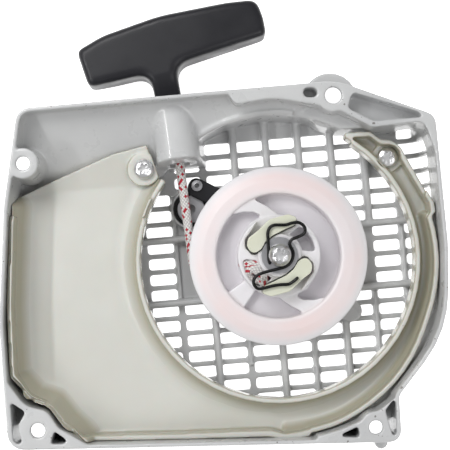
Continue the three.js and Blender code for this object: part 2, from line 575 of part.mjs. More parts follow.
// ---- rope ----------------------------------------------------------------------------------------
// Place on the coil after `turn` turns, wound clockwise outwards seen from +Z. Each turn moves to its
// next place in a short stretch: from the front layer to the rear, then outwards, then to the front again.
function coilPoint(turn) {
  const { inner, outer, rear, front, start } = COIL;
  const moved = (from) => THREE.MathUtils.smoothstep(turn, from, from + 0.14);
  const radius = inner + (outer - inner) * moved(1.72);
  const height = front + (rear - front) * (moved(0.86) - moved(2.58));
  const angle = start * RAD - turn * 2 * Math.PI;
  return [radius * Math.cos(angle), radius * Math.sin(angle), height];
}

function ropeCoil() {
  const count = Math.round(COIL.turns * COIL.steps);
  const points = Array.from({ length: count + 1 }, (_, k) => coilPoint((COIL.turns * k) / count));
  return tube(points, COIL.radius, count, 8);
}

function ropeRun() {
  const angle = Math.PI / 2 + GUIDE.tilt;
  const [x, y] = turnBy([-ROPE.tangent, 0], GUIDE.tilt);
  const at = (d, height) => [x + d * Math.cos(angle), y + d * Math.sin(angle), height];
  return tube([at(0.6, ROPE.z), at(14, ROPE.z + 0.7), at(30, GUIDE.z - 0.3), at(41, GUIDE.z), at(47.6, GUIDE.z)], ROPE.radius, 14, 8);
}

// Figure of the stopper knot, as a fat closed body.
function knot(x, y, z, radius, height) {
  const profile = [[0, -height / 2], [radius * 0.7, -height / 2], [radius, -height * 0.15], [radius, height * 0.2],
    [radius * 0.6, height / 2], [0, height / 2]];
  const geometry = new THREE.LatheGeometry(profile.map(vec), 14);
  geometry.rotateX(Math.PI / 2);
  geometry.translate(x, y, z);
  return solid(geometry);
}

// ---- grip ----------------------------------------------------------------------------------------
// Sections of the bar across its length: place along it, middle height, half height and half thickness.
const BAR_SECTIONS = [
  [-35.2, 2.2, 5.6, 5.5], [-34, 2.3, 8.4, 8.4], [-24, 2.8, 9.6, 9.3], [-12, 3.2, 10.7, 9.6], [0, 4, 10.4, 9.6],
  [14, 4.1, 9.6, 9.5], [28, 3.8, 8.7, 9.2], [39, 3.5, 7.7, 8.4], [40.4, 3.4, 4.8, 5.2],
];

function gripBar() {
  const sides = 14;
  const across = turnBy([0, 1], GRIP.tilt);
  const along = turnBy([1, 0], GRIP.tilt);
  const power = 0.72; // below 1 fills the corners of the oval section
  const swell = (value) => Math.sign(value) * Math.abs(value) ** power;
  const flat = Array.from({ length: sides }, (_, k) => {
    const angle = (2 * Math.PI * k) / sides;
    return new THREE.Vector2(swell(Math.cos(angle)), swell(Math.sin(angle)));
  });
  const sections = BAR_SECTIONS.map(([s, middle, high, thick]) => ({
    flat,
    points: flat.map(({ x, y }) => {
      const up = middle + high * x;
      return new THREE.Vector3(
        GRIP.x + along[0] * s + across[0] * up, GRIP.y + along[1] * s + across[1] * up, GRIP.z + thick * y);
    }),
  }));
  return loft(sections);
}

function grip() {
  const angle = Math.PI / 2 + GRIP.stemTilt;
  const rod = (from, to, radius, endRadius) =>
    levelRod(GRIP.stemX, GRIP.stemY, GRIP.z, angle, from, to, radius, 14, endRadius);
  const stem = join(rod(0, 20, 4, 4.8), rod(19.9, 28, 4.8, 5.2), rod(27.9, 37, 5.2, 8.6));
  return cut(join(gripBar(), stem), rod(-1, 41, 2.1), rod(40, 70, 4.6));
}

function ropeInGrip() {
  const angle = Math.PI / 2 + GRIP.stemTilt;
  return levelRod(GRIP.stemX, GRIP.stemY, GRIP.z, angle, 0.2, 39.6, 1.6, 8);
}

function gripKnot() {
  const angle = Math.PI / 2 + GRIP.stemTilt;
  const along = 43.6;
  const x = GRIP.stemX + along * Math.cos(angle);
  const y = GRIP.stemY + along * Math.sin(angle);
  const profile = [[0, -3.2], [3, -3.2], [4.1, -0.8], [4.1, 1], [2.6, 3.4], [0, 3.4]];
  const geometry = new THREE.LatheGeometry(profile.map(vec), 14);
  geometry.rotateZ(GRIP.stemTilt);
  geometry.translate(x, y, GRIP.z);
  return solid(geometry);
}

function ropeBush() {
  const geometry = new THREE.LatheGeometry(
    [[1.95, 1.4], [3.8, 1.4], [3.8, 5.2], [1.95, 5.2], [1.95, 1.4]].map(vec), 18);
  geometry.rotateZ(GUIDE.tilt);
  geometry.translate(GUIDE.x, GUIDE.y, GUIDE.z);
  return solid(geometry);
}

// ---- the assembly --------------------------------------------------------------------------------
function geometryOf(body) {
  const mesh = body.getMesh();
  const geometry = new THREE.BufferGeometry();
  geometry.setAttribute("position", new THREE.BufferAttribute(new Float32Array(mesh.vertProperties), 3));
  geometry.setIndex(new THREE.BufferAttribute(new Uint32Array(mesh.triVerts), 1));
  return geometry;
}

const finish = (color, roughness, metalness = 0) =>
  new THREE.MeshStandardMaterial({ color, roughness, metalness });

const FINISHES = {
  paint: finish(0xbebfc0, 0.3),
  cream: finish(0xc8c8c2, 0.4),
  nylon: finish(0xe4dcde, 0.45),
  lime: finish(0xcdd0b4, 0.45),
  steel: finish(0xb4b6b8, 0.3, 0.9),
  wire: finish(0x1e1e1c, 0.35, 0.6),
  black: finish(0x2d2d32, 0.5),
  rubber: finish(0x161616, 0.8),
  rope: finish(0xf0eeec, 0.85),
  spring: finish(0x6a6c70, 0.35, 0.9),
  blank: finish(0xd8d8d6, 0.35),
};

const PIECES = {
  fan_housing: [fanHousing, "paint"],
  name_plate: [namePlate, "blank"],
  air_baffle: [airBaffle, "cream"],
  baffle_screw_left: [() => panScrew(SCREW_LEFT), "steel"],
  baffle_screw_right: [() => panScrew(SCREW_RIGHT), "steel"],
  axle_post: [axlePost, "steel"],
  thrust_washer: [() => ringBar(0, 0, 8.6, AXLE.radius + GAP, 8, 8.5), "steel"],
  retaining_washer: [() => ringBar(0, 0, 7.3, 2.8, 27.2, 28.2), "steel"],
  axle_screw: [axleScrew, "steel"],
  spring_case: [springCase, "black"],
  rewind_spring: [rewindSpring, "spring"],
  spring_case_eyelet: [eyelet, "steel"],
  rubber_bush: [() => ringBar(SOCKET.x, SOCKET.y, 7, 5.9, FLOOR + GAP, 7.6), "rubber"],
  bush_sleeve: [() => ringBar(SOCKET.x, SOCKET.y, 5.6, 1.9, FLOOR + GAP, 7), "steel"],
  rope_bush: [ropeBush, "steel"],
  rope_rotor: [ropeRotor, "nylon"],
  rope_coil: [ropeCoil, "rope"],
  rope_knot_rotor: [() => knot(-9.4, -7.3, 18.6, 2.5, 7), "rope"],
  rope_run: [ropeRun, "rope"],
  pawl_left: [pawl, "lime"],
  pawl_right: [() => halfTurn(pawl()), "lime"],
  pawl_clip: [pawlClip, "wire"],
  grip: [grip, "black"],
  rope_in_grip: [ropeInGrip, "rope"],
  rope_knot_grip: [gripKnot, "rope"],
};

const starter = new THREE.Group();
Object.entries(PIECES).forEach(([name, [build, material]]) => {
  const mesh = new THREE.Mesh(geometryOf(build()), FINISHES[material]);
  mesh.name = name;
  starter.add(mesh);
});

export default starter;
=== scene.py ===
# Looks of the recoil starter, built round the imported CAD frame.
# Lengths are in millimetres, times MM where Blender wants metres; materials and lights are in metres.
import math

import bpy
import numpy as np
from mathutils import Matrix, Vector


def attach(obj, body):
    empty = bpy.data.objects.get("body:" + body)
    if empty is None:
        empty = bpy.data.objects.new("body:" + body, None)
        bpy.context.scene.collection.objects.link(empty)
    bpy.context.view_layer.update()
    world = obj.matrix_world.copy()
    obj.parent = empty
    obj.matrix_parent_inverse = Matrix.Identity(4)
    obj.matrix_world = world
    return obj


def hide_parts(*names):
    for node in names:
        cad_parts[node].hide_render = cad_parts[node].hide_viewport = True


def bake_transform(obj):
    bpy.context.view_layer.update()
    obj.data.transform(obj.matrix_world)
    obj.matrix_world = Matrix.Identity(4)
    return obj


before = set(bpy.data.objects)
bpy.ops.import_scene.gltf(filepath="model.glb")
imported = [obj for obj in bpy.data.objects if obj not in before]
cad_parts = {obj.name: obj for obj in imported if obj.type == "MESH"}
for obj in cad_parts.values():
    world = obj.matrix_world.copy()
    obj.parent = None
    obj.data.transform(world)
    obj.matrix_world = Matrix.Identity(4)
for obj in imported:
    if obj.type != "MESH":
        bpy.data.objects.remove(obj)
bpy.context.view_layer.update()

MM = 0.001
RIM = 38.0  # height of the housing's rim over the floor
TILT = math.radians(4.9)  # how far the slot columns lean from upright in the picture
RING_X, RING_Y, RING_INNER, RING_TOP = -0.5, -1.9, 55.0, 26.5
DISH_TOP = 18.0
BRAID_STITCH, BRAID_THREADS = 1.5, 4  # length of one stitch, and stitches on half the way round
TRIANGLES, FEW_TRIANGLES = 180000, 60000  # most triangles that a large and a small piece keeps

# ---- camera and lights ---------------------------------------------------------------------------
CAMERA_AT = (-25.75, -11.0, 538.0)
LOOKS_AT = (-21.85, 11.6, 38.0)
LENS = 102.6
SENSOR = 36.0


def aim(thing, target, sideways=(1, 0, 0)):
    back = (Vector(thing.location) - Vector(target)).normalized()
    right = Vector(sideways)
    right = (right - right.dot(back) * back).normalized()
    up = back.cross(right)
    thing.rotation_euler = Matrix((right, up, back)).transposed().to_euler()


def make_camera():
    data = bpy.data.cameras.new("camera")
    data.lens = LENS
    data.sensor_width = SENSOR
    data.clip_start, data.clip_end = 0.01, 20
    camera = bpy.data.objects.new("camera", data)
    bpy.context.scene.collection.objects.link(camera)
    camera.location = Vector(CAMERA_AT) * MM
    aim(camera, Vector(LOOKS_AT) * MM)
    bpy.context.scene.camera = camera


def softbox(name, at, target, size, power):
    data = bpy.data.lights.new(name, "AREA")
    data.shape = "RECTANGLE"
    data.size, data.size_y = size
    data.energy = power
    light = bpy.data.objects.new(name, data)
    bpy.context.scene.collection.objects.link(light)
    light.location = at
    aim(light, target)


make_camera()
scene = bpy.context.scene
scene.view_settings.view_transform = "Standard"
scene.world = bpy.data.worlds.new("studio")
scene.world.use_nodes = True
backdrop = scene.world.node_tree.nodes["Background"]
backdrop.inputs["Color"].default_value = (1, 1, 1, 1)
backdrop.inputs["Strength"].default_value = 0.42
softbox("key", (-0.35, 0.45, 0.8), (-0.02, 0, 0), (0.4, 0.3), 3.6)
softbox("fill", (0.5, -0.3, 0.7), (-0.02, 0, 0), (0.5, 0.5), 1.6)
softbox("strip_left", (-0.5, -0.02, 0.52), (-0.03, 0, 0), (0.03, 0.6), 1.5)

# ---- material building ---------------------------------------------------------------------------


class Paint:
    """A Principled material and short ways to add nodes to it."""

    def __init__(self, name, colour, roughness, **sockets):
        self.material = bpy.data.materials.new(name)
        self.material.use_nodes = True
        self.tree = self.material.node_tree
        self.shader = self.tree.nodes["Principled BSDF"]
        self.set("Base Color", (*colour, 1))
        self.set("Roughness", roughness)
        for socket, value in sockets.items():
            self.set(socket.replace("_", " "), value)

    def set(self, socket, value):
        self.join(self.shader.inputs[socket], value)

    def join(self, socket, value):
        if isinstance(value, bpy.types.NodeSocket):
            self.tree.links.new(value, socket)
        else:
            socket.default_value = value

    def node(self, kind, inputs=None, **settings):
        made = self.tree.nodes.new("ShaderNode" + kind)
        for key, value in settings.items():
            setattr(made, key, value)
        for key, value in (inputs or {}).items():
            self.join(made.inputs[key], value)
        return made

    def place(self):
        return self.node("TexCoord").outputs["Object"]

    def noise(self, scale, detail=3.0, rough=0.5, at=None):
        inputs = {"Vector": at or self.place(), "Scale": scale, "Detail": detail, "Roughness": rough}
        return self.node("TexNoise", inputs).outputs["Fac"]

    def ramp(self, value, low, high, out_low=0.0, out_high=1.0):
        inputs = {"Value": value, "From Min": low, "From Max": high, "To Min": out_low, "To Max": out_high}
        return self.node("MapRange", inputs).outputs["Result"]

    def math(self, operation, a, b=0.0):
        return self.node("Math", {0: a, 1: b}, operation=operation).outputs[0]

    def mix(self, share, a, b):
        full = [(*v, 1) if isinstance(v, tuple) and len(v) == 3 else v for v in (a, b)]
        made = self.node("Mix", data_type="RGBA")
        self.join(made.inputs[0], share)
        self.join(made.inputs[6], full[0])
        self.join(made.inputs[7], full[1])
        return made.outputs[2]

    def bump(self, height, strength, distance):
        inputs = {"Height": height, "Strength": strength, "Distance": distance}
        self.set("Normal", self.node("Bump", inputs).outputs["Normal"])


def cast_paint():
    p = Paint("grey_paint", (0.55, 0.555, 0.56), 0.3, Coat_Weight=0.5, Coat_Roughness=0.07)
    cloud = p.noise(35, 4)
    shade = p.mix(p.ramp(cloud, 0.35, 0.65), (0.52, 0.525, 0.53), (0.585, 0.59, 0.59))
    height = p.node("SeparateXYZ", {0: p.place()}).outputs["Z"]
    rim = p.ramp(height, (RIM - 0.8) * MM, (RIM - 0.2) * MM)
    chips = p.math("MULTIPLY", p.ramp(p.noise(420, 2), 0.69, 0.71), rim)
    p.set("Base Color", p.mix(chips, shade, (0.2, 0.19, 0.18)))
    p.set("Roughness", p.ramp(p.noise(160, 3), 0.3, 0.7, 0.24, 0.4))
    p.bump(p.noise(900, 2), 0.25, 0.00006)
    return p.material


def cream_plastic():
    p = Paint("cream_plastic", (0.6, 0.6, 0.55), 0.38, Subsurface_Weight=0.15, Subsurface_Scale=0.001)
    cloud = p.noise(28, 4)
    shade = p.mix(p.ramp(cloud, 0.3, 0.7), (0.585, 0.585, 0.54), (0.64, 0.64, 0.6))
    height = p.node("SeparateXYZ", {0: p.place()}).outputs["Z"]
    ring = p.ramp(height, (RING_TOP - 0.3) * MM, RING_TOP * MM)
    smudge = p.math("MULTIPLY", p.ramp(p.noise(230, 4, 0.7), 0.66, 0.72), ring)
    # Painted shade: faces that tilt away from upright are mixed towards a darker tan, the more the further
    # they lean.
    lean = p.node("SeparateXYZ", {0: p.node("NewGeometry").outputs["Normal"]}).outputs["Z"]
    shade = p.mix(p.ramp(lean, 0.99, 0.5), shade, (0.44, 0.42, 0.33))
    p.set("Base Color", p.mix(smudge, shade, (0.22, 0.2, 0.17)))
    sheen = p.ramp(lean, 0.86, 0.995, 0.13, 0.4)
    p.set("Roughness", p.math("ADD", sheen, p.ramp(p.noise(120, 3), 0.3, 0.7, 0, 0.06)))
    p.bump(p.noise(1400, 2), 0.15, 0.00004)
    return p.material


def nylon():
    p = Paint("white_nylon", (0.86, 0.82, 0.83), 0.38, Subsurface_Weight=0.5, Subsurface_Scale=0.0025)
    p.set("Subsurface Radius", (1, 0.96, 0.97))
    spot = p.node("SeparateXYZ", {0: p.place()})
    level = p.node("CombineXYZ", {0: spot.outputs[0], 1: spot.outputs[1]}).outputs[0]
    radius = p.node("VectorMath", {0: level}, operation="LENGTH").outputs["Value"]
    # A pinker ring over the coil, and painted shade that darkens the low floor of the recess round the hub.
    band = p.math("MULTIPLY", p.ramp(radius, 0.0235, 0.028), p.ramp(radius, 0.0355, 0.0325))
    blush = p.math("MULTIPLY", band, p.ramp(p.noise(45, 2), 0.3, 0.7, 0.35, 1.0))
    shade = p.mix(blush, (0.78, 0.765, 0.785), (0.84, 0.715, 0.71))
    well = p.math("MULTIPLY", p.ramp(radius, 0.0165, 0.0172), p.ramp(radius, 0.0256, 0.025))
    low = p.math("MULTIPLY", well, p.ramp(spot.outputs[2], 0.0165, 0.0145))
    p.set("Base Color", p.mix(p.math("MULTIPLY", low, 0.45), shade, (0.56, 0.53, 0.57)))
    p.bump(p.noise(700, 2), 0.1, 0.00005)
    return p.material


def lime_plastic():
    p = Paint("lime_plastic", (0.6, 0.62, 0.46), 0.4, Subsurface_Weight=0.3, Subsurface_Scale=0.002)
    p.set("Subsurface Radius", (1, 1, 0.9))
    p.set("Base Color", p.mix(p.noise(300, 3), (0.64, 0.65, 0.52), (0.7, 0.71, 0.6)))
    p.bump(p.noise(1500, 2), 0.15, 0.00004)
    return p.material


def steel(name="zinc_steel", colour=(0.85, 0.85, 0.86), roughness=0.32):
    p = Paint(name, colour, roughness, Metallic=1.0)
    dark = tuple(v * 0.85 for v in colour)
    p.set("Base Color", p.mix(p.noise(700, 4), dark, colour))
    p.set("Roughness", p.ramp(p.noise(500, 3), 0.3, 0.7, roughness - 0.05, roughness + 0.08))
    p.bump(p.noise(2500, 2), 0.06, 0.00002)
    return p.material


def black_plastic(name="black_plastic", colour=(0.011, 0.011, 0.014), roughness=0.36):
    p = Paint(name, colour, roughness, Specular_IOR_Level=0.36)
    p.set("Base Color", p.mix(p.noise(200, 4), colour, tuple(v * 1.35 for v in colour)))
    p.set("Roughness", p.ramp(p.noise(90, 3), 0.3, 0.7, roughness - 0.07, roughness + 0.1))
    p.bump(p.noise(2600, 3), 0.3, 0.00005)
    return p.material


def rope_cloth(name, along):
    """White braid with red flecks. `along` gives the place along the rope in metres from the maker."""
    p = Paint(name, (0.8, 0.78, 0.76), 0.8, Sheen_Weight=0.3)
    around = p.node("Attribute", attribute_name="around").outputs["Fac"]
    step = p.math("MULTIPLY", along(p), 1 / (BRAID_STITCH * MM))
    one = p.math("ADD", around, step)
    two = p.math("SUBTRACT", around, step)
    cell = p.node("CombineXYZ", {0: p.math("FLOOR", one), 1: p.math("FLOOR", two)}).outputs[0]
    pick = p.node("TexWhiteNoise", {0: cell}, noise_dimensions="2D").outputs["Value"]
    across = p.math("ABSOLUTE", p.math("SUBTRACT", p.math("FRACT", one), 0.5))
    over = p.math("ABSOLUTE", p.math("SUBTRACT", p.math("FRACT", two), 0.5))
    groove = p.math("MAXIMUM", across, over)
    # Painted shade: the grooves between the threads are coloured darker than the threads.
    thread_with_groove_shade = p.mix(p.ramp(groove, 0.36, 0.5), (0.82, 0.8, 0.78), (0.42, 0.4, 0.4))
    p.set("Base Color", p.mix(p.math("GREATER_THAN", pick, 0.85), thread_with_groove_shade, (0.5, 0.012, 0.03)))
    p.bump(p.ramp(groove, 0.2, 0.5, 1.0, 0.0), 0.9, 0.0003)
    return p.material


PAINT = cast_paint()
CREAM = cream_plastic()
NYLON = nylon()
LIME = lime_plastic()
STEEL = steel()
DULL_STEEL = steel("dull_steel", (0.5, 0.5, 0.52), 0.32)
WIRE = steel("black_wire", (0.03, 0.03, 0.03), 0.3)
BLACK = black_plastic()
RUBBER = black_plastic("rubber", (0.012, 0.012, 0.012), 0.7)
BLANK = steel("blank_plate", (0.75, 0.75, 0.74), 0.35)
ROPE = rope_cloth("rope", lambda p: p.node("Attribute", attribute_name="along").outputs["Fac"])
ROPE_PULLED = rope_cloth("rope_pulled", lambda p: p.node("SeparateXYZ", {0: p.place()}).outputs["Y"])

# ---- mesh building -------------------------------------------------------------------------------


def points_of(mesh):
    flat = np.zeros(len(mesh.vertices) * 3)
    mesh.vertices.foreach_get("co", flat)
    return flat.reshape(-1, 3)


def put_points(mesh, points):
    mesh.vertices.foreach_set("co", points.ravel())
    mesh.update()


def mesh_of(name, points, faces):
    mesh = bpy.data.meshes.new(name)
    mesh.from_pydata([tuple(p) for p in points], [], [tuple(f) for f in faces])
    mesh.update()
    return mesh


def through_modifier(mesh, kind, **settings):
    """The mesh after one modifier, as a new mesh."""
    holder = bpy.data.objects.new("holder", mesh)
    scene.collection.objects.link(holder)
    modifier = holder.modifiers.new("modifier", kind)
    for key, value in settings.items():
        setattr(modifier, key, value)
    graph = bpy.context.evaluated_depsgraph_get()
    result = bpy.data.meshes.new_from_object(holder.evaluated_get(graph))
    bpy.data.objects.remove(holder)
    return result


def remeshed(mesh, voxel, quick=None):
    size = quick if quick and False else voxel
    return through_modifier(mesh, "REMESH", mode="VOXEL", voxel_size=size * MM, use_smooth_shade=True)


def relax(mesh, rounds, weight=1.0, share=0.5):
    """Moves each point towards the middle of its neighbours, which rounds corners and leaves flat faces."""
    count = len(mesh.vertices)
    flat = np.zeros(len(mesh.edges) * 2, np.int32)
    mesh.edges.foreach_get("vertices", flat)
    a, b = flat.reshape(-1, 2).T
    degree = np.maximum(np.bincount(a, minlength=count) + np.bincount(b, minlength=count), 1)[:, None]
    points = points_of(mesh)
    strength = share * (weight if np.isscalar(weight) else weight[:, None])
    for _ in range(rounds):
        total = np.stack(
            [np.bincount(a, points[b, k], count) + np.bincount(b, points[a, k], count) for k in range(3)], 1)
        points += strength * (total / degree - points)
    put_points(mesh, points)


def thinned(mesh, most=TRIANGLES):
    now = sum(len(p.vertices) - 2 for p in mesh.polygons)
    if now <= most:
        return mesh
    return through_modifier(mesh, "DECIMATE", ratio=most / now)


def finish_piece(name, mesh, material, body, *nodes, slot=None):
    mesh.polygons.foreach_set("use_smooth", np.ones(len(mesh.polygons), bool))
    mesh.materials.clear()
    mesh.materials.append(material)
    mesh.name = name
    piece = bpy.data.objects.new(name, mesh)
    scene.collection.objects.link(piece)
    if body:
        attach(piece, body)
    if nodes:
        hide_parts(*nodes)
    return piece


def cad_mesh(node):
    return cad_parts[node].data.copy()


def merged(*meshes):
    """Several meshes as one, without joining their surfaces."""
    points, faces, start = [], [], 0
    for mesh in meshes:
        own = points_of(mesh)
        points.append(own)
        faces += [tuple(v + start for v in p.vertices) for p in mesh.polygons]
        start += len(own)
    return mesh_of("merged", np.concatenate(points), faces)


def turned(x, y, angle=TILT):
    return x * math.cos(angle) - y * math.sin(angle), x * math.sin(angle) + y * math.cos(angle)


def block(x, y, angle, length, width, bottom, top):
    """Closed bar that lies level, centred on a point; a small chamfer runs along its upper edges."""
    bevel = width * 0.25
    profile = [(-width / 2, bottom), (width / 2, bottom), (width / 2, top - bevel), (width / 2 - bevel, top),
               (bevel - width / 2, top), (-width / 2, top - bevel)]
    points = []
    for end in (-length / 2, length / 2):
        for across, z in profile:
            px = x + end * math.cos(angle) - across * math.sin(angle)
            py = y + end * math.sin(angle) + across * math.cos(angle)
            points.append((px * MM, py * MM, z * MM))
    n = len(profile)
    faces = [tuple(range(n - 1, -1, -1)), tuple(range(n, 2 * n))]
    faces += [(i, (i + 1) % n, (i + 1) % n + n, i + n) for i in range(n)]
    return mesh_of("block", points, [tuple(reversed(f)) for f in faces])


# ---- housing -------------------------------------------------------------------------------------
SLOT_X, SLOT_COLUMN = 5.9, 13.45
RIDGE_WIDTH, RIDGE_BOTTOM, RIDGE_TOP = 1.5, 2, 4.6
# The column of slots that each ridge stands to the right of, and the ridge's lower and upper end.
RIDGES = [
    (-2, -44, -17), (0, -60, -17), (2, -50, -17), (3, -42, -17),
    (3, -14, 9), (-4, -17, 28), (-3, 12, 30), (2, 12, 43),
]
GUIDE_X = -42  # middle of the rope guide's boss


def without(mesh, cutter):
    """The mesh with another closed mesh cut out of it."""
    tool = bpy.data.objects.new("cutter", cutter)
    scene.collection.objects.link(tool)
    left = through_modifier(mesh, "BOOLEAN", operation="DIFFERENCE", object=tool, solver="EXACT")
    bpy.data.objects.remove(tool)
    return left


def ridge(column, low, high):
    """Narrow raised line between two columns of slots."""
    x = SLOT_X + (column + 0.5) * SLOT_COLUMN
    px, py = turned(x, (low + high) / 2)
    return block(px, py, math.pi / 2 + TILT, high - low, RIDGE_WIDTH, RIDGE_BOTTOM, RIDGE_TOP)


def housing():
    ridges = [ridge(*place) for place in RIDGES]
    mesh = remeshed(merged(cad_mesh("fan_housing"), *ridges), 0.42, quick=0.7)
    relax(mesh, 2)
    # The rope guide's boss has the softest edges, and the grille keeps the sharpest.
    x, y, z = (points_of(mesh) / MM).T
    near = (np.abs(x - GUIDE_X) < 20) & (y > 33) & (y < 61) & (z > 8)
    relax(mesh, 20, near.astype(float))
    high = (z > 12) & ~near
    relax(mesh, 5, high.astype(float))
    finish_piece("fan_housing_cast", thinned(mesh), PAINT, "housing", "fan_housing", slot="paint")


def from_line(x, y, line):
    """Distance of each point from a chain of straight stretches."""
    best = np.full(len(x), 1e9)
    for (ax, ay), (bx, by) in zip(line, line[1:]):
        dx, dy = bx - ax, by - ay
        share = np.clip(((x - ax) * dx + (y - ay) * dy) / (dx * dx + dy * dy), 0, 1)
        best = np.minimum(best, np.hypot(x - ax - share * dx, y - ay - share * dy))
    return best


def cove(distance, width, height):
    """Height of a hollow quarter round that starts `width` away from a wall and is `height` tall at it."""
    share = np.clip((width - distance) / width, 0, 1)
    return height * (1 - np.sqrt(1 - share * share))


# Lines along the housing's wall, which the baffle's floor curves up to.
LEFT_EDGE = [(-105.6, 23), (-106.4, 12), (-107, -20), (-105.6, -47.6), (-97.6, -56.4)]
STRUT_EDGE = [(-97.6, -56.4), (-90, -58.6), (-84, -66), (-77.2, -72)]
LOWER_EDGE = [(-77.2, -72), (-40, -71.4), (-3, -70.3)]
# How far the outer edge of the channel moves out to the wall, by its angle round the ring in degrees.
OUTER_SPREAD = [(-93, 0), (-88, 1.2), (-70, 2.2), (-44, 1.9), (-20, 0.9), (0, 0.6), (16, 0.3), (24, 0)]


def baffle():
    mesh = remeshed(cad_mesh("air_baffle"), 0.45, quick=0.7)
    points = points_of(mesh) / MM
    x, y, z = points.T  # views, so they follow each change to the points
    radius = np.hypot(x - RING_X, y - RING_Y)
    angle = np.degrees(np.arctan2(y - RING_Y, x - RING_X)) % 360
    # The floor curves up to the ring, but not across the top.
    width = np.interp(angle, (0, 150, 240, 300, 360), (3, 9.5, 9, 3.6, 3))
    rise = cove(np.maximum(radius - RING_INNER - 2, 0), width, 7.6)
    rise[radius < RING_INNER + 1.6] = 0
    rise[(angle > 62) & (angle < 140)] = 0
    # It also curves up to the left and lower edges and to the outer edge of the channel on the right.
    left = from_line(x, y, LEFT_EDGE + STRUT_EDGE[1:])
    rise = np.maximum(rise, 15 * np.clip(1 - left / 8.5, 0, 1) ** 3 * np.clip((23.8 - y) / 4, 0, 1))
    rise = np.maximum(rise, cove(from_line(x, y, LOWER_EDGE), 3.4, 5))
    turn = (angle + 88) % 360
    outer = 66.4 - 5.2 * np.minimum(1, np.clip((turn - 2) / 104, 0, 1) * 1.6)
    rise = np.maximum(rise, cove(np.maximum(outer - radius, 0), 3.2, 8) * (turn < 106))
    floor = DISH_TOP + rise
    surface = (z > DISH_TOP - 0.6) & (z < floor)
    points[:, 2] = np.where(surface, floor + (z - DISH_TOP) * 0.02, z)
    # The edges reach the housing's wall but for a narrow gap, and the left one climbs towards the rim.
    lip = np.clip((4 - left) / 2, 0, 1) * np.clip((z - 22) / 6, 0, 1)
    points[:, 2] += np.where(surface, 0, 6 * lip)
    spread = np.interp((angle + 180) % 360 - 180, *zip(*OUTER_SPREAD)) * np.clip((radius - 58.6) / 2, 0, 1)
    points[:, 0] += spread * (x - RING_X) / radius
    points[:, 1] += spread * (y - RING_Y) / radius
    points[:, 1] -= 1.2 * np.clip((-67 - y) / 3, 0, 1) * (x < 12)
    points[:, 0] -= 0.4 * np.clip((-101 - x) / 3, 0, 1)
    put_points(mesh, points * MM)
    relax(mesh, 4)
    finish_piece("air_baffle_moulding", thinned(mesh), CREAM, "housing", "air_baffle", slot="cream")


def rounded_lathe(mesh, segments):
    """Makes the round faces about the upright axis, which the CAD draws with flat segments, truly round."""
    points = points_of(mesh) / MM
    half = math.pi / segments
    off = (np.arctan2(points[:, 1], points[:, 0]) % (2 * half)) - half
    points[:, :2] *= (np.cos(off) / math.cos(half))[:, None]
    put_points(mesh, points * MM)


def rotor():
    mesh = remeshed(cad_mesh("rope_rotor"), 0.3, quick=0.45)
    rounded_lathe(mesh, 32)
    relax(mesh, 3)
    finish_piece("rope_rotor_moulding", thinned(mesh), NYLON, "rotor", "rope_rotor", slot="nylon")


def small_casting(node, material, body, slot, voxel=0.2):
    mesh = remeshed(cad_mesh(node), voxel)
    relax(mesh, 3)
    finish_piece(node + "_moulding", thinned(mesh, FEW_TRIANGLES), material, body, node, slot=slot)


# ---- rope ----------------------------------------------------------------------------------------
def smooth_path(points, spacing):
    """Evenly spaced points on a smooth curve through the given ones."""
    given = np.array(points, float)
    before = np.vstack([2 * given[0] - given[1], given, 2 * given[-1] - given[-2]])
    fine = []
    for i in range(1, len(before) - 2):
        p0, p1, p2, p3 = before[i - 1:i + 3]
        t = np.linspace(0, 1, 24, endpoint=False)[:, None]
        fine.append(0.5 * (2 * p1 + (p2 - p0) * t + (2 * p0 - 5 * p1 + 4 * p2 - p3) * t ** 2
                           + (3 * p1 - p0 - 3 * p2 + p3) * t ** 3))
    fine = np.vstack([*fine, given[-1:]])
    travelled = np.concatenate([[0], np.cumsum(np.linalg.norm(np.diff(fine, axis=0), axis=1))])
    wanted = np.linspace(0, travelled[-1], max(2, int(travelled[-1] / spacing) + 1))
    return np.stack([np.interp(wanted, travelled, fine[:, k]) for k in range(3)], 1), wanted


def skin(count, sides):
    """Faces that join each of `count` rings of points to the next, and close both ends."""
    faces = []
    for start in range(0, (count - 1) * sides, sides):
        for i in range(sides):
            after = (i + 1) % sides
            faces.append((start + i, start + after, start + sides + after, start + sides + i))
    return faces + [tuple(range(sides - 1, -1, -1)), tuple((count - 1) * sides + i for i in range(sides))]


def tube(points, radius, sides, spacing=0.5, round_ends=True):
    """Round bar along a smooth path in millimetres, with `along` and `around` stored on its points."""
    path, travelled = smooth_path(points, spacing)
    forward = np.gradient(path, axis=0)
    forward /= np.linalg.norm(forward, axis=1)[:, None]
    side = np.cross(forward[0], (0, 0, 1.0))
    if np.linalg.norm(side) < 1e-6:
        side = np.array((1.0, 0, 0))
    sizes = np.full(len(path), radius)
    if round_ends:
        for k, share in enumerate((0.55, 0.85)):
            sizes[k] *= share
            sizes[-1 - k] *= share
    rings = []
    angles = np.arange(sides) * 2 * math.pi / sides
    for at, ahead, size in zip(path, forward, sizes):
        side = side - side.dot(ahead) * ahead
        side /= np.linalg.norm(side)
        up = np.cross(ahead, side)
        rings.append(at + size * (np.outer(np.cos(angles), side) + np.outer(np.sin(angles), up)))
    count = len(rings)
    mesh = mesh_of("tube", np.vstack(rings) * MM, skin(count, sides))
    along = mesh.attributes.new("along", "FLOAT", "POINT")
    along.data.foreach_set("value", np.repeat(travelled, sides) * MM)
    around = mesh.attributes.new("around", "FLOAT", "POINT")
    turn = np.abs(np.arange(sides) / sides * 2 - 1) * BRAID_THREADS
    around.data.foreach_set("value", np.tile(turn, count))
    return mesh


COIL_START, COIL_TURNS = math.radians(226), 3.1056
COIL_IN, COIL_OUT, COIL_REAR, COIL_FRONT, COIL_R = 28.6, 31.55, 12.4, 15.45, 1.45
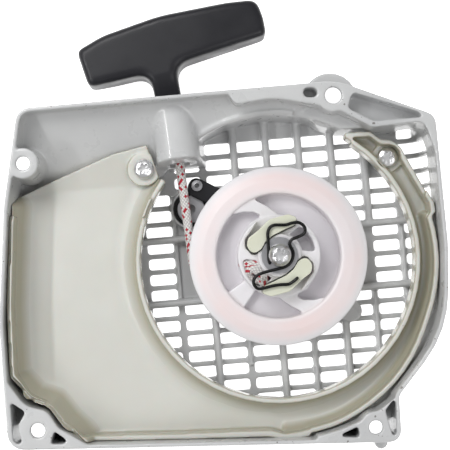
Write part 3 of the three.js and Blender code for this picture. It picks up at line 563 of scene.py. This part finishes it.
# Turns after which the coil changes its place, and the share of a turn that each change takes.
TO_REAR, TO_OUTSIDE, TO_FRONT, MOVE = 0.86, 1.72, 2.58, 0.14
TANGENT, ROPE_Z, GUIDE_Z, ROPE_R = 34.8, 14.7, 16.5, 1.85
ROPE_TILT = math.radians(7.7)  # how far the rope leans from upright in the picture, on its way to the guide


def coil_point(turn):
    """Place on the coil, which lies in two layers and moves from one place to the next in short stretches."""
    def moved(start):
        share = min(max((turn - start) / MOVE, 0), 1)
        return share * share * (3 - 2 * share)
    radius = COIL_IN + (COIL_OUT - COIL_IN) * moved(TO_OUTSIDE)
    height = COIL_FRONT + (COIL_REAR - COIL_FRONT) * (moved(TO_REAR) - moved(TO_FRONT))
    angle = COIL_START - turn * 2 * math.pi
    return radius * math.cos(angle), radius * math.sin(angle), height


def ropes():
    coil = [coil_point(turn) for turn in np.linspace(0, COIL_TURNS, 97)]
    finish_piece("rope_coil_braid", tube(coil, COIL_R, 12, 0.8), ROPE, "rotor", "rope_coil", slot="rope")
    x, y = turned(-TANGENT, 0, ROPE_TILT)
    lean = math.pi / 2 + ROPE_TILT

    def at(d, height):
        return x + d * math.cos(lean), y + d * math.sin(lean), height
    run = [at(0.6, ROPE_Z), at(14, ROPE_Z + 0.7), at(30, GUIDE_Z - 0.3), at(41, GUIDE_Z), at(47.6, GUIDE_Z)]
    finish_piece("rope_run_braid", tube(run, ROPE_R, 24, 0.35), ROPE, "housing", "rope_run", slot="rope")


# ---- grip ----------------------------------------------------------------------------------------
GRIP_X, GRIP_Y, GRIP_Z = -45.0, 83.0, GUIDE_Z
GRIP_TILT, STEM_TILT = math.radians(15), math.radians(10.3)
STEM_X, STEM_Y = -40.9, 43.2
GRIP_HALF, GRIP_EDGE = 9.3, 3  # half the bar's thickness, and the radius of its edges
KNOT_HOLE_R = 4.4


def on_stem(d):
    """Place `d` along the middle line of the grip's stem, from its lower end at the rope guide."""
    lean = math.pi / 2 + STEM_TILT
    return STEM_X + d * math.cos(lean), STEM_Y + d * math.sin(lean), GRIP_Z


def rounded_outline(corners, steps=8):
    """Points of a closed outline whose corners (x, y, radius) are rounded."""
    made = []
    for i, (x, y, radius) in enumerate(corners):
        corner = np.array((x, y))
        before = np.array(corners[i - 1][:2]) - corner
        after = np.array(corners[(i + 1) % len(corners)][:2]) - corner
        room = 0.48 * min(np.linalg.norm(before), np.linalg.norm(after))
        before /= np.linalg.norm(before)
        after /= np.linalg.norm(after)
        half = math.acos(np.clip(before.dot(after), -1, 1)) / 2
        reach = min(radius / math.tan(half), room) if radius > 0.01 else 0.01
        for t in np.linspace(0, 1, steps + 1):
            a, b = corner + before * reach, corner + after * reach
            made.append((1 - t) ** 2 * a + 2 * t * (1 - t) * corner + t * t * b)
    return np.array(made)


def grip_outline(d):
    """Front outline of the T-grip moved inwards by d: place along the bar and height over its middle."""
    def r(radius):
        return max(radius - d, 0.4)
    return rounded_outline([
        (-35.6 + d, 9.2 - d, r(3)), (-24, 12.4 - d, r(30)), (0, 14.4 - d, 60), (28, 12.7 - d, r(30)),
        (40.2 - d, 11 - d, r(5)), (41 - d, 3, r(9)), (40.4 - d, -4.2 + d, r(2.5)), (14, -5.8 + d, 30),
        (1.6 - d, -6.6 + d, 7 + d), (-0.9 - d, -40, 0), (-11.5 + d, -40, 0), (-9.2 + d, -7.2 + d, 6.5 + d),
        (-24, -6.9 + d, 30), (-34.6 + d, -6.2 + d, r(3)),
    ])


def grip_piece():
    levels = 25
    heights = np.linspace(-GRIP_HALF, GRIP_HALF, levels + 1)
    blocks = []
    for low, high in zip(heights, heights[1:]):
        over = max(abs(low + high) / 2 - (GRIP_HALF - GRIP_EDGE), 0)
        d = GRIP_EDGE - math.sqrt(GRIP_EDGE ** 2 - over ** 2)
        outline = grip_outline(d)
        count = len(outline)
        points = [(s, t, h) for h in (low - 0.05, high + 0.05) for s, t in outline]
        faces = [tuple(range(count - 1, -1, -1)), tuple(range(count, 2 * count))]
        faces += [(i, (i + 1) % count, (i + 1) % count + count, i + count) for i in range(count)]
        blocks.append(mesh_of("level", np.array(points) * MM, faces))
    mesh = remeshed(merged(*blocks), 0.5, quick=0.8)
    relax(mesh, 12)
    points = points_of(mesh) / MM
    s, t, h = points.T
    # The bar is thinner at its ends, and the stem thinner than the bar.
    share = np.clip((t + 8.5) / -13, 0, 1)
    share = share * share * (3 - 2 * share)
    thick = (1 - 0.45 * share) * (1 - 0.14 * np.clip((np.abs(s) - 8) / 32, 0, 1) ** 2 * (t > -8))
    points[:, 2] = h * thick
    c, n = math.cos(GRIP_TILT), math.sin(GRIP_TILT)
    placed = np.stack([GRIP_X + s * c - t * n, GRIP_Y + s * n + t * c, GRIP_Z + points[:, 2]], 1)
    put_points(mesh, placed * MM)
    knot_hole = tube([on_stem(40.5), on_stem(50), on_stem(60)], KNOT_HOLE_R, 32, 2, False)
    mesh = without(mesh, knot_hole)
    finish_piece("grip_moulding", thinned(mesh), BLACK, "grip", "grip", slot="black")


# ---- knots, clip and screws ----------------------------------------------------------------------
KNOT_R, GRIP_KNOT_R = 1.8, 1.45
KNOT_PATH = [
    (-15.6, -3, 20.6), (-13.6, -3.6, 22.2), (-10.8, -3.6, 23.2), (-8, -4.6, 23.2), (-6.6, -7, 22.2),
    (-8, -9.6, 21), (-11, -9.4, 21.4), (-12.6, -7, 22.6), (-10.6, -5.4, 24.2), (-8, -6.8, 24.4),
    (-6.2, -9.4, 23.4), (-7.4, -11.8, 22.4),
]
CLIP_Z, CLIP_R = 29.3, 0.64
CLIP_PATH = [
    (-3.9, -3.7), (-4.4, -1.4), (-4.5, 2.2), (-4.7, 6), (-4.8, 8.9), (-4, 10.9), (-2.4, 11.9), (0.2, 12),
    (2.6, 12.1), (4.9, 12.8), (7.3, 13), (9.3, 11.9), (10.1, 10.1), (9.5, 8.5), (7.3, 7.3), (4.9, 6.3),
    (3.9, 4.9), (4.1, 3.7), (5.2, 1.4), (5.1, -1), (4, -3.2), (2, -4.6), (-0.6, -5.4), (-4.6, -6.4),
    (-7.8, -7.4), (-9.8, -8.8), (-10.5, -10.6), (-9.8, -12.4), (-8.4, -13.3), (-6.2, -13), (-3, -12.2),
    (0.2, -11.7), (3.4, -11.5), (5.3, -10.4), (7.3, -8.7),
]
# A screw's round head from its seat upwards: radius and height as shares of the head's own.
HEAD_PROFILE = [(0.97, 0), (1, 0.05), (1, 0.42), (0.985, 0.52), (0.94, 0.66), (0.86, 0.79), (0.74, 0.9)]


def small_tubes():
    knot = tube(KNOT_PATH, KNOT_R, 20, 0.4)
    finish_piece("rope_knot_braid", knot, ROPE, "rotor", "rope_knot_rotor", slot="rope")
    clip = tube([(x, y, CLIP_Z) for x, y in CLIP_PATH], CLIP_R, 14, 0.35)
    finish_piece("pawl_clip_wire", clip, WIRE, "clip", "pawl_clip", slot="wire")
    x, y, z = on_stem(43.6)
    turns = [(x + (1.9 + 0.5 * math.cos(a / 2)) * math.cos(a), y - 1.8 + a * 0.28, z + 2.2 * math.sin(a))
             for a in np.linspace(0, 4 * math.pi, 40)]
    grip_knot = tube(turns, GRIP_KNOT_R, 16, 0.5)
    finish_piece("grip_knot_braid", grip_knot, ROPE, "grip", "rope_knot_grip", slot="rope")


def star_screw(node, x, y, seat, head, high, socket, deep, shank, tip):
    """Round-headed screw with a six-lobed socket; head, socket and shank are radii, seat and tip levels."""
    sides = 96
    angles = np.arange(sides) * 2 * math.pi / sides
    star = socket * (0.86 + 0.14 * np.cos(6 * angles + 0.4))
    top = seat + high
    rings = [(shank, tip), (shank, seat)]
    rings += [(head * share, seat + high * rise) for share, rise in HEAD_PROFILE]
    rings += [(star * 1.12, seat + high * 0.985), (star * 1.03, top), (star * 0.985, top - 0.12),
              (star * 0.94, top - deep), (star * 0.3, top - deep - 0.15)]
    points = [(x + r * math.cos(a), y + r * math.sin(a), level)
              for radii, level in rings for r, a in zip(np.broadcast_to(radii, sides), angles)]
    mesh = mesh_of(node, np.array(points) * MM, skin(len(rings), sides))
    piece = finish_piece(node + "_star", mesh, STEEL, "housing", node, slot="steel")
    sharp = piece.modifiers.new("edges", "EDGE_SPLIT")
    sharp.split_angle = math.radians(50)


PULLED_R = 1.55


def pulled_rope():
    """Rope between the housing and the grip: hidden at rest, built here only as a short piece along the stem.
    """
    mesh = tube([on_stem(-0.8), on_stem(1), on_stem(2.8)], PULLED_R, 20, 0.04, False)
    piece = finish_piece("rope_pulled_braid", mesh, ROPE_PULLED, None, slot="rope")
    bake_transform(piece)


# ---- everything else keeps its CAD mesh ----------------------------------------------------------
def dressed(node, material, width=0.15):
    node_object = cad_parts[node]
    node_object.data.materials.clear()
    node_object.data.materials.append(material)
    if width:
        bevel = node_object.modifiers.new("edge", "BEVEL")
        bevel.width = width * MM
        bevel.segments = 2
        bevel.angle_limit = math.radians(35)


housing()
baffle()
rotor()
small_casting("pawl_left", LIME, "pawl_a", "lime")
small_casting("pawl_right", LIME, "pawl_b", "lime")
small_casting("spring_case", BLACK, "housing", "black", voxel=0.35)
ropes()
grip_piece()
small_tubes()
pulled_rope()
star_screw("baffle_screw_left", -54.4, 34.7, seat=22.9, head=4, high=2.6, socket=2.4, deep=1.5,
           shank=1.6, tip=10.6)
star_screw("baffle_screw_right", 43.9, 39.7, seat=20.3, head=4.2, high=2.6, socket=2.5, deep=1.5,
           shank=1.6, tip=8)
star_screw("axle_screw", 0, 0, seat=28.5, head=4.5, high=5.2, socket=2.7, deep=2.2, shank=2.4, tip=14)
PLAIN_STEEL = (
    "axle_post", "thrust_washer", "retaining_washer", "spring_case_eyelet", "bush_sleeve", "rope_bush",
)
for node in PLAIN_STEEL:
    dressed(node, DULL_STEEL)
dressed("rewind_spring", DULL_STEEL, 0)
dressed("rubber_bush", RUBBER)
dressed("name_plate", BLANK)
dressed("rope_in_grip", ROPE_PULLED, 0)

# ---- floor ---------------------------------------------------------------------------------------
FLOOR_SIDE = 3.0  # metres from the middle to each edge
FLOOR_GLOW = 0.96
FLOOR_DROP = 0.0002  # metres, which keeps it clear of the housing's lowest faces


def make_floor():
    side = FLOOR_SIDE
    corners = [(-side, -side, 0), (side, -side, 0), (side, side, 0), (-side, side, 0)]
    mesh = mesh_of("floor", corners, [(0, 1, 2, 3)])
    p = Paint("pale_floor", (0.8, 0.8, 0.8), 0.9)
    p.set("Emission Color", (1, 1, 1, 1))
    p.set("Emission Strength", FLOOR_GLOW)
    mesh.materials.append(p.material)
    floor = bpy.data.objects.new("floor", mesh)
    floor.location.z = -FLOOR_DROP
    scene.collection.objects.link(floor)


make_floor()
